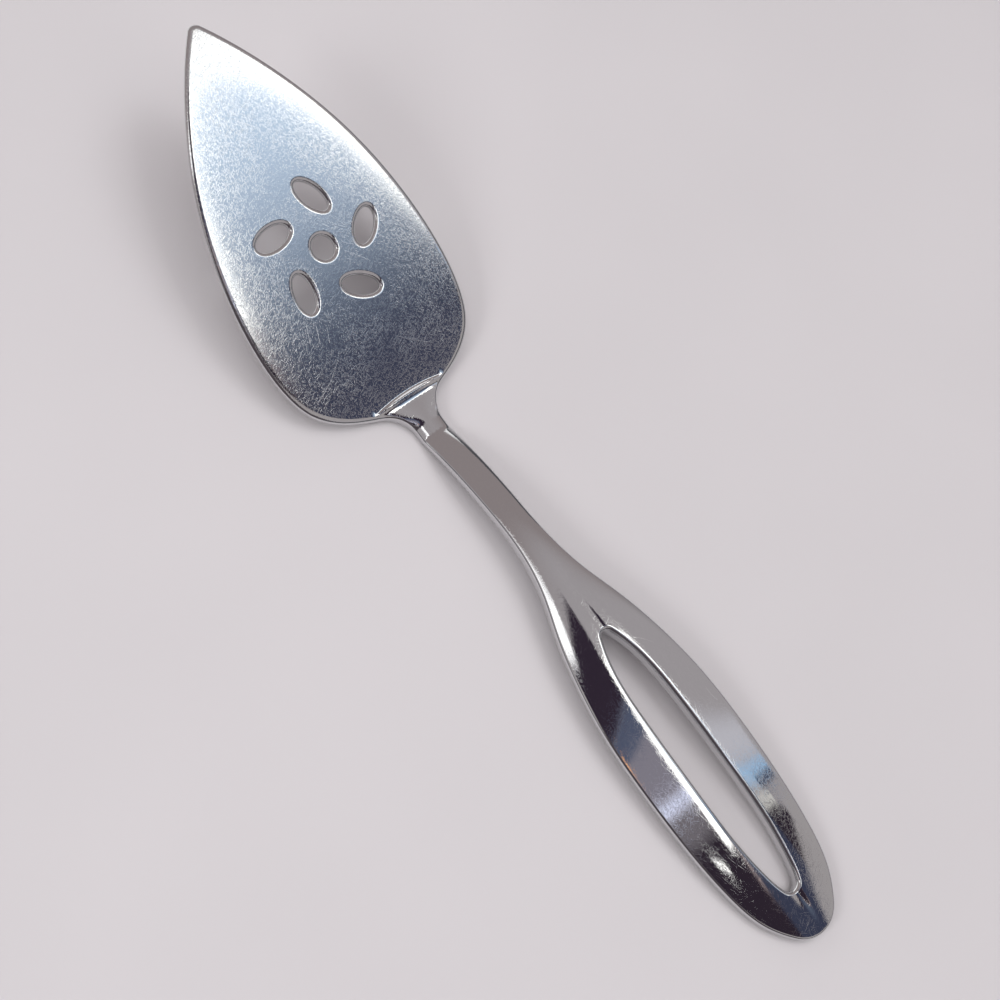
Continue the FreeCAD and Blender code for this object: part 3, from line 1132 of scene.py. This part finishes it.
@dataclass(frozen=True)
class PolishedSteel:
    """Polished stainless steel with fine scratches from use, thicker on the blade."""

    colour: tuple = (0.66, 0.66, 0.67)
    worn_colour: tuple = (0.71, 0.71, 0.715)
    handle_roughness: float = 0.03
    blade_roughness: float = 0.075
    scratch_roughness: float = 0.10
    scratch_depth: float = 0.0000032
    blade_from: float = -0.028
    handle_from: float = -0.044
    line_levels: tuple = (0.60, 0.70)
    line_detail: float = 1.0
    cloud_scale: float = 110.0
    cloud_detail: float = 3.0
    cloud_levels: tuple = (0.35, 0.65)
    least_wear: float = 0.65
    handle_wear: float = 0.35
    fine_layers: tuple = ((-6.0, 4200.0, 22.0), (14.0, 3900.0, 18.0), (-27.0, 3700.0, 14.0),
                          (47.0, 3600.0, 12.0), (-64.0, 3600.0, 12.0))
    long_scratches: tuple = (
        LongScratch((-0.0494, -0.0091), (-0.0411, -0.0220), 0.0011),
        LongScratch((-0.0495, -0.0131), (-0.0433, -0.0082), 0.0003),
        LongScratch((-0.0454, 0.0041), (-0.0394, 0.0122), -0.0002),
        LongScratch((-0.0577, -0.0134), (-0.0527, -0.0153), 0.0, 0.00010),
        LongScratch((-0.0562, -0.0115), (-0.0514, -0.0133), 0.0, 0.00010),
        LongScratch((-0.0546, -0.0094), (-0.0509, -0.0110), 0.0, 0.00010),
        LongScratch((-0.1068, -0.0059), (-0.0976, -0.0083), 0.0004, 0.00010),
        LongScratch((-0.1021, -0.0030), (-0.0990, 0.0005), 0.0002, 0.00010),
        LongScratch((-0.0961, -0.0051), (-0.0894, -0.0044), 0.0004, 0.00010),
        LongScratch((-0.0567, -0.0006), (-0.0478, 0.0018), 0.0003, 0.00008),
        LongScratch((-0.0512, 0.0103), (-0.0384, 0.0071), 0.0005, 0.00008),
        LongScratch((-0.0657, -0.0182), (-0.0503, -0.0229), 0.0004, 0.00008),
        LongScratch((-0.0672, 0.0037), (-0.0617, 0.0089), 0.0002, 0.00008),
        LongScratch((0.0452, 0.0047), (0.0496, 0.0087), 0.0003, 0.00014),
        LongScratch((0.0646, 0.0127), (0.0691, 0.0133), -0.0003, 0.00025),
    )

    def hairlines(self, graph: Graph, place: bpy.types.NodeSocket, turn: float, scale: float,
                  stretch: float) -> Signal:
        """Short fine lines that run one way.

        Args:
            graph: Material's graph.
            place: Position socket.
            turn: Direction of the lines in degrees.
            scale: Number of lines in a metre, roughly.
            stretch: How many times longer than wide they are.

        Returns:
            Line strength from 0 to 1.
        """
        turned = graph.node("ShaderNodeMapping", {"vector_type": "TEXTURE"}, {
            "Vector": place, "Rotation": (0.0, 0.0, math.radians(turn)),
            "Scale": (stretch / scale, 1.0 / scale, 1.0 / scale)}).outputs[0]
        return graph.noise(turned, 1.0, self.line_detail, self.line_levels)

    def material(self) -> bpy.types.Material:
        """Build the material.

        Returns:
            The material.
        """
        steel = bpy.data.materials.new("polished_steel")
        steel.use_nodes = True
        graph = Graph(steel.node_tree)
        place = graph.node("ShaderNodeTexCoord", {}, {}).outputs["Object"]
        axes = graph.node("ShaderNodeSeparateXYZ", {}, {0: place}).outputs
        x = Signal(graph, axes[0])
        y = Signal(graph, axes[1])
        on_blade = x.between(self.blade_from, self.handle_from)
        wear = None
        for turn, scale, stretch in self.fine_layers:
            layer = self.hairlines(graph, place, turn, scale, stretch)
            wear = layer if wear is None else wear.highest(layer)
        clouds = graph.noise(place, self.cloud_scale, self.cloud_detail, self.cloud_levels)
        least = self.least_wear
        wear = wear * (least + (1.0 - least) * clouds)
        wear = wear * (self.handle_wear + (1.0 - self.handle_wear) * on_blade)
        for scratch in self.long_scratches:
            wear = wear.highest(scratch.mark(graph, x, y))
        rough = (self.handle_roughness + (self.blade_roughness - self.handle_roughness) * on_blade
                 + self.scratch_roughness * wear)
        bump = graph.node("ShaderNodeBump", {}, {
            "Strength": 1.0, "Distance": self.scratch_depth, "Height": wear}).outputs[0]
        shader = graph.node("ShaderNodeBsdfPrincipled", {}, {
            "Base Color": graph.blend(wear, self.colour, self.worn_colour),
            "Metallic": 1.0, "Roughness": rough, "Normal": bump}).outputs[0]
        graph.node("ShaderNodeOutputMaterial", {}, {"Surface": shader})
        return steel


class FieldShape(Enum):
    """Outline of a field on the studio's ceiling."""

    RECTANGLE = "rectangle"
    OVAL = "oval"


@dataclass(frozen=True)
class CeilingField:
    """Soft-edged light or dark field on the ceiling, which stands one unit over the table."""

    name: str
    middle: tuple
    half: tuple
    colour: tuple
    edge: float = 0.02
    turn: float = 0.0
    far_colour: tuple | None = None
    fade: tuple = (0.0, 1.0)
    shape: FieldShape = FieldShape.RECTANGLE

    def lay(self, graph: Graph, x: Signal, y: Signal,
            under: bpy.types.NodeSocket | tuple) -> bpy.types.NodeSocket:
        """Lay the field over what the ceiling has so far.

        Args:
            graph: World's graph.
            x: Place on the ceiling along the length.
            y: Place on the ceiling across.
            under: Colour so far.

        Returns:
            The new colour.
        """
        turn = math.radians(self.turn)
        right = (x - self.middle[0]) * math.cos(turn) + (y - self.middle[1]) * math.sin(turn)
        up = (y - self.middle[1]) * math.cos(turn) - (x - self.middle[0]) * math.sin(turn)
        wide, tall = self.half
        if self.shape is FieldShape.OVAL:
            reach = ((right / wide) ** 2 + (up / tall) ** 2) ** 0.5
            soft = self.edge / min(self.half)
            mask = reach.between(1.0 + soft, 1.0 - soft)
        else:
            mask = (abs(right).between(wide + self.edge, wide - self.edge)
                    * abs(up).between(tall + self.edge, tall - self.edge))
        colour = self.colour
        if self.far_colour is not None:
            colour = graph.blend(x.between(*self.fade), self.colour, self.far_colour)
        return graph.blend(mask, under, colour)


@dataclass(frozen=True)
class Studio:
    """Pale floor, soft lights, surround and camera."""

    floor_colour: tuple = (0.60, 0.575, 0.59)
    floor_size: float = 6.0
    floor_roughness: float = 0.75
    floor_cloud_scale: float = 9.0
    floor_cloud_detail: float = 2.0
    floor_cloud_levels: tuple = (0.3, 0.7)
    floor_cloud_shade: float = 0.965
    walls: tuple = (0.46, 0.43, 0.44)
    lowest_rise: float = 0.02
    horizon: tuple = (0.10, 0.10, 0.11)
    horizon_reach: tuple = (1.5, 2.4)
    skirting: tuple = (0.45, 0.43, 0.44)
    skirting_reach: tuple = (3.6, 6.0)
    backdrop: tuple = (0.66, 0.64, 0.65)
    fields: tuple = (
        CeilingField("brown side", (-1.62, 0.85), (1.5, 1.6), (0.34, 0.295, 0.295), 0.12),
        CeilingField("bright end", (-3.8, 0.0), (2.25, 2.6), (1.15, 1.15, 1.15), 0.15),
        CeilingField("low side", (1.2, -1.45), (1.2, 1.20), (0.09, 0.075, 0.085), 0.03),
        CeilingField("broad window", (0.215, 0.4825), (0.145, 0.2975), (2.8, 2.8, 2.68), 0.014),
        CeilingField("dark side", (0.43, 0.275), (0.068, 0.49), (0.035, 0.025, 0.038), 0.008),
        CeilingField("dark low", (0.045, -0.03), (0.078, 0.215), (0.040, 0.028, 0.045), 0.012),
        CeilingField("blue low", (0.147, 0.0), (0.028, 0.185), (0.11, 0.13, 0.20), 0.012),
        CeilingField("grey low", (0.215, 0.0), (0.045, 0.185), (0.30, 0.28, 0.33), 0.012),
        CeilingField("lilac strip", (0.272, 0.0), (0.011, 0.185), (0.95, 1.0, 1.25), 0.009),
        CeilingField("grey strip", (0.31, 0.0), (0.024, 0.185), (0.22, 0.20, 0.22), 0.008),
        CeilingField("dark near", (0.375, 0.0), (0.045, 0.185), (0.035, 0.025, 0.038), 0.010),
        CeilingField("small lamp", (0.364, 0.055), (0.006, 0.034), (2.4, 2.4, 2.3), 0.003, -12.0),
        CeilingField("warm lamp", (0.18, -0.105), (0.03, 0.010), (1.3, 0.65, 0.30), 0.006),
        CeilingField("pale high", (0.335, 1.08), (0.05, 0.315), (0.68, 0.67, 0.72), 0.045, -9.3),
        CeilingField("blue high", (0.402, 1.08), (0.018, 0.31), (0.45, 0.68, 0.95), 0.010, -9.3),
        CeilingField("slate high", (0.437, 1.17), (0.011, 0.22), (0.08, 0.10, 0.16), 0.007, -9.3),
        CeilingField("light patch", (0.428, 0.90), (0.020, 0.13), (0.74, 0.72, 0.68), 0.008, -10.0),
        CeilingField("dark wedge", (0.452, 0.75), (0.040, 0.38), (0.035, 0.025, 0.038), 0.005,
                     -7.0, shape=FieldShape.OVAL),
        CeilingField("rose strip", (0.375, 0.257), (0.045, 0.014), (0.42, 0.33, 0.32), 0.012),
        CeilingField("shade", (0.532, 0.564), (0.455, 0.252), (0.82, 1.02, 1.26), 0.012, 25.4,
                     (0.055, 0.062, 0.105), (0.10, 0.44), FieldShape.OVAL),
        CeilingField("beyond", (0.75, 0.50), (0.25, 0.90), (0.46, 0.43, 0.43), 0.008),
        CeilingField("side window", (-0.15, -0.32), (0.040, 0.24), (1.8, 1.8, 1.8), 0.018, -24.0),
    )
    lamps: tuple = (
        ("key_lamp", (-0.132, -0.838, 0.53), 1.1, 0.35, 4.2),
        ("fill_lamp", (0.082, 0.351, 0.933), 1.1, 0.40, 1.4),
        ("sky_lamp", (0.05, 0.05, 1.0), 1.6, 2.5, 20.0),
    )
    camera_place: tuple = (36.96, -146.17, 318.7)
    camera_right: tuple = (0.610658, 0.741406, 0.278234)
    camera_down: tuple = (0.785214, -0.521358, -0.334104)
    focal_pixels: float = 1484.2
    image_pixels: float = 1000.0
    sensor: float = 36.0
    near_clip: float = 0.01

    def floor(self) -> bpy.types.Object:
        """Build the pale floor under the server.

        Returns:
            The floor.
        """
        half = self.floor_size / 2.0
        mesh = bpy.data.meshes.new("table")
        mesh.from_pydata([(-half, -half, 0), (half, -half, 0), (half, half, 0), (-half, half, 0)],
                         [], [(0, 1, 2, 3)])
        paper = bpy.data.materials.new("pale_table")
        paper.use_nodes = True
        graph = Graph(paper.node_tree)
        place = graph.node("ShaderNodeTexCoord", {}, {}).outputs["Object"]
        clouds = graph.noise(place, self.floor_cloud_scale, self.floor_cloud_detail,
                             self.floor_cloud_levels)
        darker = tuple(self.floor_cloud_shade * part for part in self.floor_colour)
        shader = graph.node("ShaderNodeBsdfPrincipled", {}, {
            "Base Color": graph.blend(clouds, darker, self.floor_colour),
            "Roughness": self.floor_roughness}).outputs[0]
        graph.node("ShaderNodeOutputMaterial", {}, {"Surface": shader})
        mesh.materials.append(paper)
        return put("table", mesh)

    def world(self) -> None:
        """Build the surround that the steel mirrors: pale walls and a ceiling with fields."""
        world = bpy.data.worlds.new("studio")
        world.use_nodes = True
        bpy.context.scene.world = world
        graph = Graph(world.node_tree)
        direction = graph.node("ShaderNodeTexCoord", {}, {}).outputs["Generated"]
        parts = graph.node("ShaderNodeSeparateXYZ", {}, {0: direction}).outputs
        rise = Signal(graph, parts[2]).highest(self.lowest_rise)
        x = Signal(graph, parts[0]) / rise
        y = Signal(graph, parts[1]) / rise
        reach = (x ** 2 + y ** 2) ** 0.5
        colour = graph.blend(reach.between(*self.horizon_reach), self.walls, self.horizon)
        colour = graph.blend(reach.between(*self.skirting_reach), colour, self.skirting)
        for patch in self.fields:
            colour = patch.lay(graph, x, y, colour)
        LOG.info("studio ceiling: %s", ", ".join(patch.name for patch in self.fields))
        seen = graph.node("ShaderNodeLightPath", {}, {}).outputs["Is Camera Ray"]
        colour = graph.blend(seen, colour, self.backdrop)
        shade = graph.node("ShaderNodeBackground", {}, {"Color": colour}).outputs[0]
        graph.node("ShaderNodeOutputWorld", {}, {"Surface": shade})

    def lights(self) -> None:
        """Add the soft lamps, each in its direction from the server."""
        for name, direction, distance, size, power in self.lamps:
            lamp = bpy.data.lights.new(name, "AREA")
            lamp.size = size
            lamp.energy = power
            carrier = put(name, lamp)
            carrier.visible_glossy = False
            carrier.location = Vector(direction).normalized() * distance
            aim = -carrier.location
            carrier.rotation_euler = aim.to_track_quat("-Z", "Y").to_euler()

    def camera(self) -> None:
        """Set up the camera at the photo's viewing angle."""
        right = Vector(self.camera_right).normalized()
        down = Vector(self.camera_down).normalized()
        ahead = right.cross(down)
        turn = Matrix((right, -down, -ahead)).transposed()
        data = bpy.data.cameras.new("camera")
        data.sensor_width = self.sensor
        data.lens = self.focal_pixels * self.sensor / self.image_pixels
        data.clip_start = self.near_clip
        camera = put("camera", data)
        camera.matrix_world = Matrix.Translation(Vector(self.camera_place) * MM) @ turn.to_4x4()
        bpy.context.scene.camera = camera


def main() -> None:
    """Load the frame, build the server and the studio, and report each piece."""
    logging.basicConfig(level=logging.INFO, format="%(name)s: %(message)s")
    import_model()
    form = ServerForm()
    skin = ServerSkin(form, ServerPlan(form)).build()
    skin.data.materials.append(PolishedSteel().material())
    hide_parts("pie_server")
    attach(skin, "root")
    studio = Studio()
    studio.floor()
    studio.world()
    studio.lights()
    studio.camera()
    bpy.context.scene.view_settings.view_transform = "Standard"


if __name__ == "__main__":
    main()
